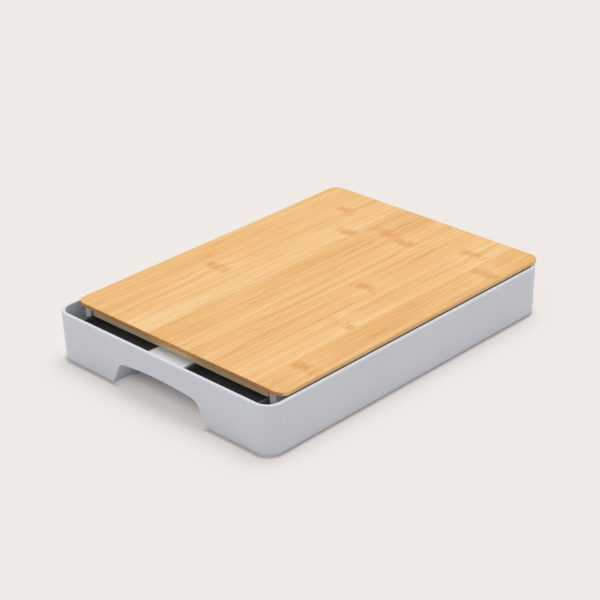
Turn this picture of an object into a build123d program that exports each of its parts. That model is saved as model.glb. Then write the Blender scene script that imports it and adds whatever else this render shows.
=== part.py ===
from build123d import *
import os
from math import radians, tan

os.makedirs("parts", exist_ok=True)

# Bamboo cutting board that slides on a shallow grey case with two drawer trays under it.
# Millimetres. +Z is up and z = 0 is the table. +X runs along the case from the end with the
# finger pocket to the end where the drawers come out. +Y is the left side, seen from that pocket end
# looking along +X. The origin is under the middle of the case.

# ---- driving dimensions -------------------------------------------------------------------

# case shell, an open tub with slightly leaning walls
case_length = 325.0
case_width = 245.0
rim_height = 44.2
wall_thickness = 3.3
floor_thickness = 2.5
wall_lean = 1.1  # degrees
case_corner_radius = 14.5
case_bottom_radius = 3.0
rim_edge_radius = 1.2
rim_inner_edge_radius = 0.5
inner_floor_radius = 2.5

# finger pocket under the near end wall
pocket_top_width = 88.0
pocket_bottom_width = 110.0
pocket_shoulder_height = 22.0
pocket_crown_height = 25.0
pocket_depth = 36.0
pocket_corner_radius = 9.0
pocket_wall = 2.6

# rubber feet in round seats
foot_diameter = 14.0
foot_thickness = 2.0
foot_seat_depth = 1.2
foot_inset = 27.0
foot_edge_radius = 0.5

# side rails that carry the board and guide the drawers
rail_width = 7.0
rail_side_setback = 13.3  # from the side of the case to the rail's outer face
rail_near_setback = 21.5  # from the near end of the case
rail_wall = 1.8
rail_cap = 4.0
rail_edge_radius = 0.5
rail_peg_count = 4

# bridge between the two drawers
bridge_width = 40.0
bridge_height = 38.0
bridge_wall = 2.0
bridge_edge_radius = 0.8
bridge_peg_count = 3
peg_diameter = 4.0
peg_end_margin = 40.0

# stop nib on the bridge, in a groove under the board
nib_length = 10.0
nib_width = 6.0
nib_height = 4.6
nib_place = 0.0  # along the case, from its middle
groove_side_gap = 2.0
groove_roof_gap = 0.6
groove_end_gap = 0.7
board_travel_out = 120.0
board_travel_back = 16.5

# drawer trays
tray_wall = 2.0
tray_floor = 2.0
tray_front_wall = 3.0
tray_height = 37.5  # rim, above the table
tray_profile_radius = 6.0
tray_step_radius = 0.5
tray_side_radius = 4.0
tray_rim_radius = 0.6
pull_width = 36.0
pull_depth = 12.0
pull_corner_radius = 10.0

# two-ply bamboo board
board_near_setback = 18.3
board_far_overhang = 2.5
board_side_gap = 1.6  # between the board and the inside of the rim, when it lies in the middle
board_side_shift = 1.2  # how far to the right the board lies, within its play
board_corner_radius = 9.5
top_ply_thickness = 3.5
top_ply_edge_radius = 0.5
lower_ply_thickness = 6.1
lower_ply_near_ledge = 2.5
lower_ply_far_ledge = 8.0
lower_ply_corner_radius = 2.0
lower_ply_edge_radius = 0.3

# clearances
rim_to_board_gap = 0.3
board_glide_gap = 0.1
board_guide_gap = 1.8
tray_side_gap = 0.5
tray_glide_gap = 0.3
tray_end_gap = 0.5
seat_gap = 0.2
fixed_end_gap = 0.3
cut_reach = 10.0  # how far a cutting tool runs past the case

# ---- heights and places worked out from them ------------------------------------------------

foot_lift = foot_thickness - foot_seat_depth
floor_top = foot_lift + floor_thickness
board_underside = rim_height + rim_to_board_gap
rail_top = board_underside - board_glide_gap
lower_ply_underside = board_underside - lower_ply_thickness
rail_span = case_width - 2 * (rail_side_setback + rail_width)  # between the rails' inner faces
board_width = case_width - 2 * (wall_thickness + board_side_gap)
pocket_roof = pocket_crown_height + pocket_wall
pocket_back = -case_length / 2 + pocket_depth
tray_step = pocket_back + pocket_wall + tray_end_gap


def half_length_at(height):
    """Outer half length of the leaning case at a height above the table."""
    return case_length / 2 - (rim_height - height) * tan(radians(wall_lean))


def half_width_at(height):
    """Outer half width of the leaning case at a height above the table."""
    return case_width / 2 - (rim_height - height) * tan(radians(wall_lean))


def case_outline(height, inset):
    """Rounded outline of the case at a height, drawn in by inset."""
    length = 2 * (half_length_at(height) - inset)
    width = 2 * (half_width_at(height) - inset)
    RectangleRounded(length, width, case_corner_radius - inset)


def spread(first, last, count):
    """Evenly spaced places from first to last."""
    return [first + (last - first) * index / (count - 1) for index in range(count)]


# fixed pieces stop short of the leaning end walls at the height of their feet
rail_near = -case_length / 2 + rail_near_setback
rail_far = half_length_at(floor_top) - wall_thickness - fixed_end_gap - inner_floor_radius
bridge_near = -(half_length_at(pocket_roof) - wall_thickness - fixed_end_gap)
bridge_far = rail_far
tray_near = -(half_length_at(pocket_roof) - wall_thickness - tray_end_gap)

rail_peg_places = [
    (x, side * (rail_span + rail_width) / 2)
    for x in spread(rail_near + peg_end_margin, rail_far - peg_end_margin, rail_peg_count)
    for side in (-1, 1)
]
bridge_peg_row = bridge_width / 2 - bridge_wall - peg_diameter / 2
bridge_peg_places = [
    (x, side * bridge_peg_row)
    for x in spread(tray_step + peg_end_margin, bridge_far - peg_end_margin, bridge_peg_count)
    for side in (-1, 1)
]
foot_places = [
    (end * (case_length / 2 - foot_inset), side * (case_width / 2 - foot_inset))
    for end in (-1, 1)
    for side in (-1, 1)
]


def pocket_outline(grow):
    """Arched outline of the finger pocket in the end wall, widened by grow on each side and above."""
    lean = (pocket_bottom_width - pocket_top_width) / 2 / pocket_shoulder_height
    shoulder = pocket_shoulder_height + grow
    shoulder_half = pocket_top_width / 2 + grow
    low = -cut_reach
    low_half = shoulder_half + lean * (shoulder - low)
    with BuildSketch() as outline:
        with BuildLine():
            Polyline(
                (-shoulder_half, shoulder), (-low_half, low), (low_half, low), (shoulder_half, shoulder)
            )
            ThreePointArc(
                (shoulder_half, shoulder), (0, pocket_crown_height + grow), (-shoulder_half, shoulder)
            )
        make_face()
        fillet(outline.vertices().group_by(Axis.Y)[-1], pocket_corner_radius + grow)
    return outline.sketch


# ---- case ---------------------------------------------------------------------------------

with BuildPart() as case:
    with BuildSketch(Plane.XY.offset(foot_lift)):
        case_outline(foot_lift, 0)
    with BuildSketch(Plane.XY.offset(rim_height)):
        case_outline(rim_height, 0)
    loft(ruled=True)
    fillet(case.faces().sort_by(Axis.Z)[0].edges(), case_bottom_radius)
    with BuildSketch(Plane.XY.offset(floor_top)):
        case_outline(floor_top, wall_thickness)
    with BuildSketch(Plane.XY.offset(rim_height)):
        case_outline(rim_height, wall_thickness)
    loft(ruled=True, mode=Mode.SUBTRACT)
    fillet(case.faces().filter_by(Axis.Z).group_by(Axis.Z)[1].edges(), inner_floor_radius)
    rim = case.faces().filter_by(Axis.Z).sort_by(Axis.Z)[-1]
    fillet(rim.outer_wire().edges(), rim_edge_radius)
    rim = case.faces().filter_by(Axis.Z).sort_by(Axis.Z)[-1]
    fillet(rim.inner_wires()[0].edges(), rim_inner_edge_radius)
    # housing of the finger pocket, then the pocket itself
    with BuildSketch(Plane.YZ.offset(-half_length_at(foot_lift) + wall_thickness / 2)):
        add(pocket_outline(pocket_wall))
        with Locations((0, -cut_reach + floor_top / 2)):
            Rectangle(2 * case_width, 2 * cut_reach + foot_lift, mode=Mode.SUBTRACT)
    extrude(amount=pocket_back + pocket_wall + half_length_at(foot_lift) - wall_thickness / 2)
    with BuildSketch(Plane.YZ.offset(pocket_back)):
        add(pocket_outline(0))
    extrude(amount=-pocket_depth - cut_reach, mode=Mode.SUBTRACT)
    # the two ways out for the drawers, open at the top, with a low post between them
    channel_width = (rail_span - bridge_width) / 2
    channel_middle = (rail_span + bridge_width) / 4
    with BuildSketch(Plane.XY.offset(floor_top)):
        with Locations((case_length / 2, -channel_middle), (case_length / 2, channel_middle)):
            Rectangle(2 * (wall_thickness + cut_reach), channel_width)
    extrude(amount=rim_height, mode=Mode.SUBTRACT)
    with BuildSketch(Plane.XY.offset(bridge_height)):
        with Locations((case_length / 2, 0)):
            Rectangle(2 * (wall_thickness + cut_reach), bridge_width)
    extrude(amount=rim_height, mode=Mode.SUBTRACT)
    # seats for the feet and holes for the pegs
    with BuildSketch(Plane.XY.offset(foot_lift)):
        with Locations(*foot_places):
            Circle(foot_diameter / 2 + seat_gap)
    extrude(amount=foot_seat_depth, mode=Mode.SUBTRACT)
    with BuildSketch(Plane.XY):
        with Locations(*rail_peg_places, *bridge_peg_places):
            Circle(peg_diameter / 2 + seat_gap)
    extrude(amount=floor_top + cut_reach, mode=Mode.SUBTRACT)
case.part.label = "case"
export_step(case.part, "parts/case.step")

# ---- side rails ---------------------------------------------------------------------------

for side_name, side in (("left", 1), ("right", -1)):
    rail_middle = side * (rail_span + rail_width) / 2
    with BuildPart() as rail:
        rail_length = rail_far - rail_near
        with BuildSketch(Plane.XY.offset(floor_top)):
            with Locations(((rail_near + rail_far) / 2, rail_middle)):
                Rectangle(rail_length, rail_width)
        extrude(amount=rail_top - floor_top)
        fillet(rail.edges().filter_by(Axis.Z), rail_edge_radius)
        fillet(rail.faces().sort_by(Axis.Z)[-1].edges(), rail_edge_radius)
        # hollow from below, with a cap at each end
        with BuildSketch(Plane.XY.offset(floor_top)):
            with Locations(((rail_near + rail_far) / 2, rail_middle)):
                Rectangle(rail_length - 2 * rail_cap, rail_width - 2 * rail_wall)
        extrude(amount=rail_top - rail_cap - floor_top, mode=Mode.SUBTRACT)
        # pegs that reach through the case floor
        with BuildSketch(Plane.XY.offset(foot_lift + seat_gap)):
            with Locations(*[place for place in rail_peg_places if place[1] * side > 0]):
                Circle(peg_diameter / 2)
        extrude(amount=rail_top - rail_cap - foot_lift)
    rail.part.label = side_name + "_rail"
    export_step(rail.part, "parts/" + side_name + "_rail.step")

# ---- bridge between the drawers -------------------------------------------------------------


def stepped_outline(near, step, far, low, step_low, high):
    """Side view of a long box whose near stretch is raised over the pocket."""
    return Polygon(
        (near, step_low), (step, step_low), (step, low), (far, low), (far, high), (near, high), align=None
    )


with BuildPart() as bridge:
    with BuildSketch(Plane.XZ.offset(-bridge_width / 2)):
        stepped_outline(bridge_near, tray_step, bridge_far, floor_top, pocket_roof, bridge_height)
    extrude(amount=bridge_width)
    top_edges = bridge.faces().sort_by(Axis.Z)[-1].edges()
    fillet(top_edges, bridge_edge_radius)
    with BuildSketch(Plane.XZ.offset(-bridge_width / 2 + bridge_wall)):
        stepped_outline(
            bridge_near + bridge_wall,
            tray_step + bridge_wall,
            bridge_far - bridge_wall,
            floor_top,
            pocket_roof,
            bridge_height - bridge_wall,
        )
    extrude(amount=bridge_width - 2 * bridge_wall, mode=Mode.SUBTRACT)
    with BuildSketch(Plane.XY.offset(foot_lift + seat_gap)):
        with Locations(*bridge_peg_places):
            Circle(peg_diameter / 2)
    extrude(amount=bridge_height - bridge_wall - foot_lift)
    with BuildSketch(Plane.XY.offset(bridge_height - bridge_wall)):
        with Locations((nib_place, 0)):
            SlotOverall(nib_length, nib_width)
    extrude(amount=bridge_wall + nib_height)
bridge.part.label = "centre_bridge"
export_step(bridge.part, "parts/centre_bridge.step")

# ---- drawer trays ---------------------------------------------------------------------------


def tray_block(near, step, front_low, front_high, low, step_low, high, start, width, step_radius):
    """Stepped block for the outside or the hollow of a tray, rounded below and at the sides."""
    with BuildPart() as block:
        with BuildSketch(Plane.XZ.offset(-start - width)):
            Polygon(
                (near, step_low),
                (step, step_low),
                (step, low),
                (front_low, low),
                (front_high, high),
                (near, high),
                align=None,
            )
            for corner in ((near, step_low), (step, low), (front_low, low)):
                fillet(vertices().sort_by_distance(corner)[0], tray_profile_radius)
            fillet(vertices().sort_by_distance((step, step_low))[0], step_radius)
        extrude(amount=width)
        sides = block.faces().filter_by(Axis.Y)
        lower_edges = [edge for face in sides for edge in face.edges() if edge.center().Z < high]
        fillet(lower_edges, tray_side_radius)
    return block.part


for side_name, side in (("left", 1), ("right", -1)):
    tray_width = (rail_span - bridge_width) / 2 - 2 * tray_side_gap
    tray_middle = side * (rail_span + bridge_width) / 4
    tray_low = floor_top + tray_glide_gap
    tray_step_low = pocket_roof + tray_glide_gap
    with BuildPart() as tray:
        add(
            tray_block(
                tray_near,
                tray_step,
                half_length_at(tray_low),
                half_length_at(tray_height),
                tray_low,
                tray_step_low,
                tray_height,
                tray_middle - tray_width / 2,
                tray_width,
                tray_step_radius,
            )
        )
        add(
            tray_block(
                tray_near + tray_wall,
                tray_step + tray_wall,
                half_length_at(tray_low) - tray_front_wall,
                half_length_at(tray_height) - tray_front_wall,
                tray_low + tray_floor,
                tray_step_low + tray_floor,
                tray_height,
                tray_middle - tray_width / 2 + tray_wall,
                tray_width - 2 * tray_wall,
                tray_step_radius + tray_wall,
            ),
            mode=Mode.SUBTRACT,
        )
        fillet(tray.faces().sort_by(Axis.Z)[-1].edges(), tray_rim_radius)
        # scooped finger pull in the front wall
        with BuildSketch(Plane.YZ.offset(half_length_at(tray_low) - tray_front_wall - tray_wall)):
            with Locations((tray_middle, tray_height)):
                pull = Rectangle(pull_width, 2 * pull_depth)
            fillet(pull.vertices().group_by(Axis.Y)[0], pull_corner_radius)
        extrude(amount=tray_front_wall + cut_reach, mode=Mode.SUBTRACT)
    tray.part.label = side_name + "_tray"
    export_step(tray.part, "parts/" + side_name + "_tray.step")

# ---- bamboo board ---------------------------------------------------------------------------

board_near = -case_length / 2 + board_near_setback
board_far = case_length / 2 + board_far_overhang
with BuildPart() as top_ply:
    with BuildSketch(Plane.XY.offset(board_underside)):
        with Locations(((board_near + board_far) / 2, -board_side_shift)):
            RectangleRounded(board_far - board_near, board_width, board_corner_radius)
    extrude(amount=top_ply_thickness)
    fillet(top_ply.faces().sort_by(Axis.Z)[-1].edges(), top_ply_edge_radius)
    fillet(top_ply.faces().sort_by(Axis.Z)[0].edges(), top_ply_edge_radius)
top_ply.part.label = "board_top_ply"
export_step(top_ply.part, "parts/board_top_ply.step")

lower_ply_near = board_near + lower_ply_near_ledge
lower_ply_far = board_far - lower_ply_far_ledge
with BuildPart() as lower_ply:
    with BuildSketch(Plane.XY.offset(lower_ply_underside)):
        with Locations(((lower_ply_near + lower_ply_far) / 2, -board_side_shift)):
            RectangleRounded(
                lower_ply_far - lower_ply_near, rail_span - 2 * board_guide_gap, lower_ply_corner_radius
            )
    extrude(amount=lower_ply_thickness)
    fillet(lower_ply.faces().sort_by(Axis.Z)[0].edges(), lower_ply_edge_radius)
    # groove that slides over the stop nib and ends the board's travel both ways
    groove_near = nib_place - nib_length / 2 - board_travel_out - groove_end_gap
    groove_far = nib_place + nib_length / 2 + board_travel_back + groove_end_gap
    with BuildSketch(Plane.XY.offset(lower_ply_underside)):
        with Locations(((groove_near + groove_far) / 2, -board_side_shift)):
            SlotOverall(groove_far - groove_near, nib_width + 2 * groove_side_gap)
    groove_depth = bridge_height + nib_height + groove_roof_gap - lower_ply_underside
    extrude(amount=groove_depth, mode=Mode.SUBTRACT)
lower_ply.part.label = "board_lower_ply"
export_step(lower_ply.part, "parts/board_lower_ply.step")

# ---- rubber feet ----------------------------------------------------------------------------

foot_names = ("near_right_foot", "near_left_foot", "far_right_foot", "far_left_foot")
for foot_name, foot_place in zip(foot_names, foot_places):
    with BuildPart() as foot:
        with BuildSketch(Plane.XY):
            with Locations(foot_place):
                Circle(foot_diameter / 2)
        extrude(amount=foot_thickness)
        fillet(foot.faces().sort_by(Axis.Z)[0].edges(), foot_edge_radius)
    foot.part.label = foot_name
    export_step(foot.part, "parts/" + foot_name + ".step")
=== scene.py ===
"""Cutting board with drawer trays: finishes, floor, light and camera.

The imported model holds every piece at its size. This script gives each piece its
finish, in shader nodes only, and sets up the photograph's view of it.
"""

from functools import reduce
from math import cos, radians, sin

import bpy
from mathutils import Matrix, Vector

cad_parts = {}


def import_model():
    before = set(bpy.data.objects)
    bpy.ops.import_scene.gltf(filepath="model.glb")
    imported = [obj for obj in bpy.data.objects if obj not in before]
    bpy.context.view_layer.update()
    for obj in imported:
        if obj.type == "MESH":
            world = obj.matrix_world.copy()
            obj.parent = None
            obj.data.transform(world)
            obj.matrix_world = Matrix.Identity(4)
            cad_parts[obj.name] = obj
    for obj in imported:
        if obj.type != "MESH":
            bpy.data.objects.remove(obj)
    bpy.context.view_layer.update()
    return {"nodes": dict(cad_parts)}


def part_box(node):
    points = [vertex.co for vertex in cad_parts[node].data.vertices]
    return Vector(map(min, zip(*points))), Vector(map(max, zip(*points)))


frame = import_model()
nodes = frame["nodes"]

MM = 0.001

# ---------------------------------------------------------------- the board's strips

# The board's face is glued up from eight strips that run along it. For each, from the
# right side to the left: how pale it is, 0 to 1, and where its nodes lie along it, in
# millimetres from the board's middle. A node is the ring where the cane had a leaf.
TOP_STRIPS = (
    (0.28, (-114, 99)),
    (0.78, (-45, 121)),
    (0.50, (16,)),
    (0.44, (101,)),
    (0.26, (106,)),
    (0.88, (86,)),
    (0.54, (-37, 119)),
    (0.42, ()),
)

# The lower ply's strips run across the board.
CORE_STRIPS = (
    (0.50, (-70,)),
    (0.35, (20,)),
    (0.62, ()),
    (0.44, (60,)),
    (0.55, (-20,)),
    (0.38, ()),
    (0.66, (-55,)),
    (0.48, (40,)),
    (0.40, ()),
    (0.58, (5,)),
)

# A ramp keeps each strip's node as a share of this reach, on both sides of the middle.
# A strip without one has it at the far end of the reach, which is off the board.
NODE_REACH = 200.0
RING_SETBACK = 2.5  # millimetres, from a node's middle to its ring
STRIP_SEED = 17.3


def srgb(red, green, blue):
    """A colour as it looks on screen, 0 to 255, in the linear values that shaders take."""

    def linear(value):
        value /= 255
        return value / 12.92 if value <= 0.04045 else ((value + 0.055) / 1.055) ** 2.4

    return (linear(red), linear(green), linear(blue), 1.0)


def grey(value):
    return (value, value, value, 1.0)


# ---------------------------------------------------------------- shader graphs


class Graph:
    """A material's shader graph, with short calls for the nodes that it repeats."""

    def __init__(self, name):
        self.material = bpy.data.materials.new(name)
        self.material.use_nodes = True
        self.tree = self.material.node_tree
        self.shader = self.tree.nodes["Principled BSDF"]
        self.coordinates = self.new("TexCoord")

    def new(self, kind, *values, **settings):
        """A node with its settings, and with its first inputs linked or set."""
        node = self.tree.nodes.new("ShaderNode" + kind)
        for name, value in settings.items():
            setattr(node, name, value)
        for socket, value in zip(node.inputs, values):
            self.feed(socket, value)
        return node

    def feed(self, socket, value):
        if isinstance(value, bpy.types.NodeSocket):
            self.tree.links.new(value, socket)
        else:
            socket.default_value = value

    def shade(self, **inputs):
        """Feeds the shader's inputs by name, with _ for a space."""
        for name, value in inputs.items():
            self.feed(self.shader.inputs[name.replace("_", " ")], value)

    def math(self, operation, *values):
        return self.new("Math", *values, operation=operation).outputs[0]

    def joined(self, operation, values):
        return reduce(lambda first, second: self.math(operation, first, second), values)

    def total(self, *values):
        return self.joined("ADD", values)

    def times(self, *values):
        return self.joined("MULTIPLY", values)

    def greatest(self, *values):
        return self.joined("MAXIMUM", values)

    def swing(self, value, size):
        """A noise of 0 to 1 as a change of up to size, up or down."""
        return self.math("MULTIPLY", self.math("SUBTRACT", value, 0.5), 2 * size)

    def ease(self, value, low, high, to_low=0.0, to_high=1.0):
        """low to high becomes to_low to to_high, eased at both ends."""
        node = self.new("MapRange", value, low, high, to_low, to_high)
        node.interpolation_type = "SMOOTHSTEP"
        return node.outputs["Result"]

    def millimetres(self):
        """The point on the piece, x, y and z, in millimetres in the piece's own frame."""
        point = self.new("VectorMath", self.coordinates.outputs["Object"], operation="SCALE")
        point.inputs["Scale"].default_value = 1 / MM
        return list(self.new("SeparateXYZ", point.outputs[0]).outputs)

    def facing(self):
        """How far the surface faces along x, y and z, each 0 to 1."""
        split = self.new("SeparateXYZ", self.coordinates.outputs["Normal"])
        return [self.math("ABSOLUTE", axis) for axis in split.outputs]

    def noise(self, x, y, z, detail=2.0, roughness=0.5):
        """Noise of 0 to 1, with features about 1 across in what it is given."""
        point = self.new("CombineXYZ", x, y, z).outputs[0]
        node = self.new("TexNoise", point)
        node.inputs["Scale"].default_value = 1.0
        node.inputs["Detail"].default_value = detail
        node.inputs["Roughness"].default_value = roughness
        return node.outputs[0]

    def ramp(self, factor, colours, stepped=False):
        """Colours at even steps along 0 to 1. Stepped ones each hold for one step."""
        node = self.new("ValToRGB", factor)
        gap = 1 / (len(colours) - (not stepped))
        node.color_ramp.interpolation = "CONSTANT" if stepped else "LINEAR"
        stops = node.color_ramp.elements
        stops.remove(stops[1])
        stops[0].color = colours[0]
        for index, colour in enumerate(colours[1:], 1):
            stops.new(index * gap).color = colour
        return node.outputs["Color"]

    def mix(self, factor, first, second):
        node = self.new("Mix", factor, data_type="RGBA")
        self.feed(node.inputs[6], first)
        self.feed(node.inputs[7], second)
        return node.outputs[2]

    def bump(self, height, depth):
        """A surface pushed out by height, 0 to 1, times depth in millimetres."""
        node = self.new("Bump")
        self.feed(node.inputs["Height"], height)
        node.inputs["Distance"].default_value = depth * MM
        return node.outputs["Normal"]


# ---------------------------------------------------------------- finishes


def node_marks(g, strips, step, seed, run, crossing):
    """How far a point lies in one of its strip's nodes, and how far around one, 0 to 1.

    A node is a frayed and streaked band across the strip, with a faint dark ring in it.
    """
    marks = []
    halos = []
    for turn in range(max(len(node_places) for _, node_places in strips)):
        places = [node_places[turn] if turn < len(node_places) else -NODE_REACH
                  for _, node_places in strips]
        shares = [grey((place + NODE_REACH) / (2 * NODE_REACH)) for place in places]
        centre = g.math("MULTIPLY_ADD", g.ramp(step, shares, stepped=True),
                        2 * NODE_REACH, -NODE_REACH)
        wander = g.swing(g.noise(g.times(crossing, 0.07), seed, 3.0 * turn), 5.0)
        away = g.math("SUBTRACT", g.math("SUBTRACT", run, centre), wander)
        gap = g.math("ABSOLUTE", away)
        node_seed = g.math("ADD", seed, 5.0 * turn)
        frays = g.swing(g.noise(g.times(run, 0.05), g.times(crossing, 0.55), node_seed), 8.0)
        blots = g.noise(g.times(run, 0.03), g.times(crossing, 0.09), node_seed)
        streaks = g.noise(g.times(run, 0.10), g.times(crossing, 0.55), node_seed)
        band = g.times(
            g.ease(g.math("ADD", gap, frays), 1.0, 8.0, 1.0, 0.0),
            g.ease(blots, 0.32, 0.54),
            g.ease(streaks, 0.36, 0.60, 0.45, 1.0),
        )
        off_ring = g.math("ABSOLUTE", g.math("ADD", away, RING_SETBACK))
        marks.append(g.math("MAXIMUM", band, g.ease(off_ring, 0.4, 2.4, 0.18, 0.0)))
        halos.append(g.ease(gap, 6.0, 34.0, 1.0, 0.0))
    return g.greatest(*marks), g.greatest(*halos)


def bamboo(name, node, along, strips, face_colours, node_colour, end_colours):
    """Oiled bamboo, glued up from strips whose fibres run along one axis, 0 or 1."""
    low, high = (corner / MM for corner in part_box(node))
    side = 1 - along
    middle = (low[along] + high[along]) / 2
    strip_width = (high[side] - low[side]) / len(strips)
    g = Graph(name)
    point = g.millimetres()
    facing = g.facing()
    run = g.math("SUBTRACT", point[along], middle)
    crossing = point[side]
    depth = point[2]

    # Which strip the point is in, and how far it lies across that strip. Each strip has
    # its own seed, so the noises don't run on from one to the next.
    place = g.math("DIVIDE", g.math("SUBTRACT", crossing, low[side]), strip_width)
    strip = g.math("FLOOR", place)
    step = g.math("DIVIDE", g.math("ADD", strip, 0.5), len(strips))
    seed = g.math("MULTIPLY", strip, STRIP_SEED)
    tone = g.ramp(step, [grey(pale) for pale, _ in strips], stepped=True)
    off_centre = g.math("ABSOLUTE", g.math("SUBTRACT", g.math("FRACT", place), 0.5))

    in_strip = g.ease(off_centre, 0.38, 0.5, 1.0, 0.0)
    mark, halo = (g.times(part, in_strip)
                  for part in node_marks(g, strips, step, seed, run, crossing))

    # Fibres: bands some millimetres wide, with lines, a few dark threads and fine bundles
    # in them. They bend around the nodes.
    bend = g.times(halo, g.swing(g.noise(g.times(run, 0.05), g.times(crossing, 0.06), seed), 5.0))
    fibre = g.math("ADD", crossing, bend)

    def stretched(along_run, across, **settings):
        """Noise that is long along the fibres, with its two scales."""
        long_run = g.math("MULTIPLY_ADD", run, along_run, seed)
        return g.noise(long_run, g.times(fibre, across), g.times(depth, across), **settings)

    bands = stretched(0.006, 0.11, detail=1.0)
    lines = stretched(0.006, 0.34, detail=2.0, roughness=0.62)
    waves = stretched(0.006, 0.23, detail=1.0)
    bundles = stretched(0.03, 2.6, detail=1.0)
    fading_run = g.math("MULTIPLY_ADD", run, 0.02, seed)
    fading = g.ease(g.noise(fading_run, g.times(fibre, 0.1), 0.0), 0.4, 0.6)
    off_thread = g.math("ABSOLUTE", g.math("SUBTRACT", waves, 0.5))
    threads = g.times(g.ease(off_thread, 0.0, 0.05, 1.0, 0.0), fading)

    paleness_with_side_highlight = g.total(
        g.math("MULTIPLY_ADD", tone, 0.34, 0.35),
        g.swing(bands, 0.26),
        g.swing(lines, 0.40),
        g.times(threads, -0.20),
        g.swing(bundles, 0.14),
        g.times(halo, 0.08),
        # Painted highlight: the edge faces that run along the fibres are painted paler, in place
        # of light that they don't get.
        g.times(facing[side], 0.45),
    )
    face = g.ramp(paleness_with_side_highlight, face_colours)
    face = g.mix(g.times(mark, 0.75), face, node_colour)
    joint = g.ease(off_centre, 0.485, 0.5, 0.0, 0.30)
    face = g.mix(joint, face, node_colour)

    # End grain: the cut bundles are dark dots.
    dots = g.noise(g.times(run, 0.05), g.times(crossing, 1.1), g.times(depth, 1.1))
    end = g.ramp(g.ease(dots, 0.35, 0.65), end_colours)
    at_end = g.ease(facing[along], 0.55, 0.85)

    g.shade(
        Base_Color=g.mix(at_end, face, end),
        Roughness=g.math("MULTIPLY_ADD", lines, 0.16, 0.42),
        Normal=g.bump(g.total(lines, g.times(bundles, 0.6), g.times(mark, 0.5)), 0.02),
    )
    g.shader.inputs["Specular IOR Level"].default_value = 0.28
    return g.material


def moulded(name, colour, roughness, texture_depth, specular=0.4):
    """Moulded plastic or rubber: a fine even texture, and a faint cloudiness."""
    g = Graph(name)
    x, y, z = g.millimetres()
    clouds = g.noise(g.times(x, 0.03), g.times(y, 0.03), g.times(z, 0.03))
    grain = g.noise(g.times(x, 2.4), g.times(y, 2.4), g.times(z, 2.4), detail=3.0, roughness=0.6)
    darker = tuple(0.975 * part for part in colour[:3]) + (1.0,)
    lighter = tuple(min(1.0, 1.02 * part) for part in colour[:3]) + (1.0,)
    shade = g.math("ADD", g.math("MULTIPLY", clouds, 0.4), g.math("MULTIPLY", grain, 0.6))
    g.shade(
        Base_Color=g.ramp(g.ease(shade, 0.3, 0.7), [darker, lighter]),
        Roughness=g.math("ADD", g.swing(grain, 0.10), roughness),
        Normal=g.bump(grain, texture_depth),
    )
    g.shader.inputs["Specular IOR Level"].default_value = specular
    return g.material


BAMBOO_FACE = [srgb(218, 154, 78), srgb(239, 188, 121), srgb(249, 216, 163)]
BAMBOO_NODE = srgb(218, 144, 58)
BAMBOO_END = [srgb(190, 128, 74), srgb(226, 170, 112)]
CORE_FACE = [srgb(222, 182, 126), srgb(238, 206, 155), srgb(243, 221, 180)]
CORE_NODE = srgb(170, 124, 72)

light_grey_plastic = moulded("light_grey_plastic", srgb(220, 224, 232), 0.46, 0.012)
slate_plastic = moulded("slate_plastic", srgb(92, 95, 95), 0.42, 0.012)
foot_rubber = moulded("foot_rubber", srgb(46, 46, 48), 0.78, 0.03, specular=0.25)
bamboo_face = bamboo(
    "bamboo", "board_top_ply", 0, TOP_STRIPS, BAMBOO_FACE, BAMBOO_NODE, BAMBOO_END
)
bamboo_core = bamboo(
    "bamboo_core", "board_lower_ply", 1, CORE_STRIPS, CORE_FACE, CORE_NODE, BAMBOO_END
)

FINISHES = {
    "case": light_grey_plastic,
    "left_rail": light_grey_plastic,
    "right_rail": light_grey_plastic,
    "centre_bridge": light_grey_plastic,
    "left_tray": slate_plastic,
    "right_tray": slate_plastic,
    "board_top_ply": bamboo_face,
    "board_lower_ply": bamboo_core,
    "near_left_foot": foot_rubber,
    "near_right_foot": foot_rubber,
    "far_left_foot": foot_rubber,
    "far_right_foot": foot_rubber,
}

for name, finish in FINISHES.items():
    for place in nodes[name].material_slots:
        place.material = finish

# ---------------------------------------------------------------- floor, light, camera

BACKDROP = srgb(240, 235, 231)
FLOOR_HALF = 12.0  # metres
AMBIENT = 0.5

# Share of the floor that shows the plain backdrop's glow over its shadow, under the case and out
# in the open, and how far outside the case's edge, in millimetres, the one becomes the other.
# Deeper under the case the share fades to nothing. The glow is painted light over the floor's
# shadow, and it is weaker near and under the case, so the floor there is painted darker, as shade.
GLOW_UNDER, GLOW_OPEN = 0.36, 0.76
GLOW_FROM, GLOW_TO = -6.0, 28.0
GLOW_NONE, GLOW_FULL = -28.0, -8.0
CASE_CORNER = 14.5  # the radius of the case's corners

# Painted shade: the thin dark line where the case meets the floor, where the floor shows only its
# own shaded surface without the glow. How far inside the case's edge it lies, half its width where
# it is darkest and half its whole width. At the near end it leaves out the pocket, which reaches
# this far to each side.
CONTACT_SHADE_INSET, CONTACT_SHADE_DARK, CONTACT_SHADE_WHOLE = 1.2, 1.0, 2.6
POCKET_FROM, POCKET_TO = 48.0, 54.0

# Each lamp's name, where it shines from, its strength and its spread in degrees.
LAMPS = (
    ("key", (0.40, 0.10, 1.0), 1.50, 46),
    ("fill", (-1.0, 0.70, 0.8), 0.28, 60),
)


def seen_directly(tree):
    """1 for rays that the camera sees, straight or by reflection or through glass."""
    path = tree.nodes.new("ShaderNodeLightPath")
    result = path.outputs["Is Camera Ray"]
    for kind in ("Is Glossy Ray", "Is Transmission Ray"):
        either = tree.nodes.new("ShaderNodeMath")
        either.operation = "MAXIMUM"
        tree.links.new(result, either.inputs[0])
        tree.links.new(path.outputs[kind], either.inputs[1])
        result = either.outputs[0]
    return result


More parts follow.
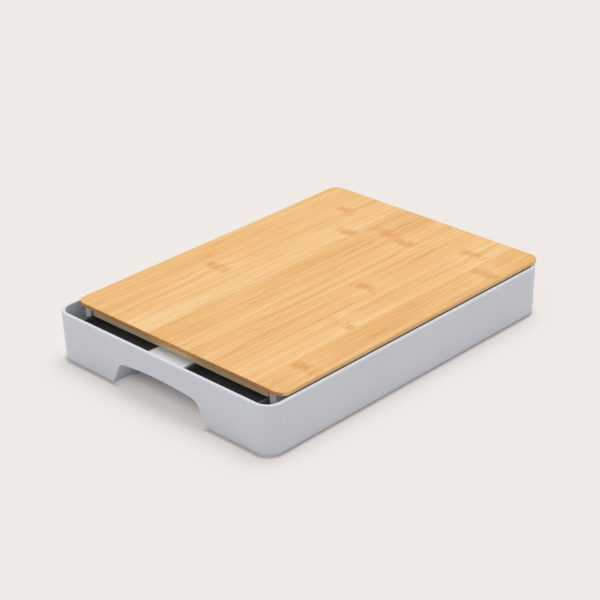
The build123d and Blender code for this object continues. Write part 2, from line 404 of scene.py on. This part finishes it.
def outside_case(g, x, y):
    """How far a point on the floor lies outside the case's edge, and below 0 under it."""
    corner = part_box("case")[1] / MM
    past_end = g.math("SUBTRACT", g.math("ABSOLUTE", x), corner.x - CASE_CORNER)
    past_side = g.math("SUBTRACT", g.math("ABSOLUTE", y), corner.y - CASE_CORNER)
    beyond = [g.math("MAXIMUM", past, 0.0) for past in (past_end, past_side)]
    reach = g.math("SQRT", g.total(*[g.times(part, part) for part in beyond]))
    inside = g.math("MINIMUM", g.math("MAXIMUM", past_end, past_side), 0.0)
    return g.math("SUBTRACT", g.total(reach, inside), CASE_CORNER)


def floor():
    corners = [(-1, -1), (1, -1), (1, 1), (-1, 1)]
    mesh = bpy.data.meshes.new("floor")
    mesh.from_pydata([(FLOOR_HALF * x, FLOOR_HALF * y, 0) for x, y in corners], [], [(0, 1, 2, 3)])
    plane = bpy.data.objects.new("floor", mesh)
    bpy.context.scene.collection.objects.link(plane)
    g = Graph("floor")
    g.shade(Base_Color=BACKDROP, Roughness=0.9)
    g.shader.inputs["Specular IOR Level"].default_value = 0.0
    glow = g.new("Emission", BACKDROP)
    x, y, _ = g.millimetres()
    outside = outside_case(g, x, y)
    # Painted shade: less glow near and under the case, so more of the floor's shadow shows there.
    glow_share = g.times(
        g.ease(outside, GLOW_FROM, GLOW_TO, GLOW_UNDER, GLOW_OPEN),
        g.ease(outside, GLOW_NONE, GLOW_FULL),
    )
    # Painted shade: a thin dark band along the case's foot, where the glow is taken away.
    off_contact_shade = g.math("ABSOLUTE", g.math("ADD", outside, CONTACT_SHADE_INSET))
    off_pocket = g.math(
        "MAXIMUM",
        g.ease(g.math("ABSOLUTE", y), POCKET_FROM, POCKET_TO),
        g.ease(x, -1.0, 1.0),
    )
    contact_shade = g.times(off_pocket, g.ease(off_contact_shade, CONTACT_SHADE_DARK, CONTACT_SHADE_WHOLE, 1.0, 0.0))
    share = g.times(seen_directly(g.tree), glow_share, g.math("SUBTRACT", 1.0, contact_shade))
    blend = g.new("MixShader", share, g.shader.outputs[0], glow.outputs[0])
    g.feed(g.tree.nodes["Material Output"].inputs["Surface"], blend.outputs[0])
    mesh.materials.append(g.material)


def world():
    """Even light from all round. The camera and gloss see the backdrop's colour there."""
    surroundings = bpy.data.worlds.new("studio")
    bpy.context.scene.world = surroundings
    surroundings.use_nodes = True
    tree = surroundings.node_tree
    background = tree.nodes["Background"]
    background.inputs["Color"].default_value = (1.0, 1.0, 1.0, 1.0)
    background.inputs["Strength"].default_value = AMBIENT
    shown = tree.nodes.new("ShaderNodeBackground")
    shown.inputs["Color"].default_value = BACKDROP
    pick = tree.nodes.new("ShaderNodeMixShader")
    tree.links.new(seen_directly(tree), pick.inputs["Fac"])
    tree.links.new(background.outputs[0], pick.inputs[1])
    tree.links.new(shown.outputs[0], pick.inputs[2])
    tree.links.new(pick.outputs[0], tree.nodes["World Output"].inputs["Surface"])


def soft_lamp(name, direction, strength, spread):
    """A wide, distant lamp that shines from direction, with no falloff over the floor."""
    data = bpy.data.lights.new(name, "SUN")
    data.energy = strength
    data.angle = radians(spread)
    lamp = bpy.data.objects.new(name, data)
    lamp.rotation_euler = Vector(direction).to_track_quat("Z", "Y").to_euler()
    bpy.context.scene.collection.objects.link(lamp)


# The camera was fitted to the case's and the board's outlines in the photograph.
CAMERA_AZIMUTH = radians(-45.14)
CAMERA_ELEVATION = radians(26.77)
CAMERA_ROLL = radians(-1.71)
CAMERA_DISTANCE = 1.54777
CAMERA_AIM = Vector((0.04244, 0.04546, 0.0))
CAMERA_LENS = 107.34
SENSOR = 36.0


def camera():
    back = Vector((
        sin(CAMERA_AZIMUTH) * cos(CAMERA_ELEVATION),
        -cos(CAMERA_AZIMUTH) * cos(CAMERA_ELEVATION),
        sin(CAMERA_ELEVATION),
    ))
    right = (-back).cross(Vector((0, 0, 1))).normalized()
    up = back.cross(right)
    tilted_right = right * cos(CAMERA_ROLL) + up * sin(CAMERA_ROLL)
    tilted_up = up * cos(CAMERA_ROLL) - right * sin(CAMERA_ROLL)
    data = bpy.data.cameras.new("camera")
    data.lens = CAMERA_LENS
    data.sensor_width = SENSOR
    data.clip_start = 0.05
    data.clip_end = 60.0
    seat = bpy.data.objects.new("camera", data)
    turn = Matrix((tilted_right, tilted_up, back)).transposed()
    seat.matrix_world = Matrix.Translation(CAMERA_AIM + back * CAMERA_DISTANCE) @ turn.to_4x4()
    bpy.context.scene.collection.objects.link(seat)
    bpy.context.scene.camera = seat


floor()
world()
for lamp in LAMPS:
    soft_lamp(*lamp)
camera()
bpy.context.scene.view_settings.view_transform = "Standard"
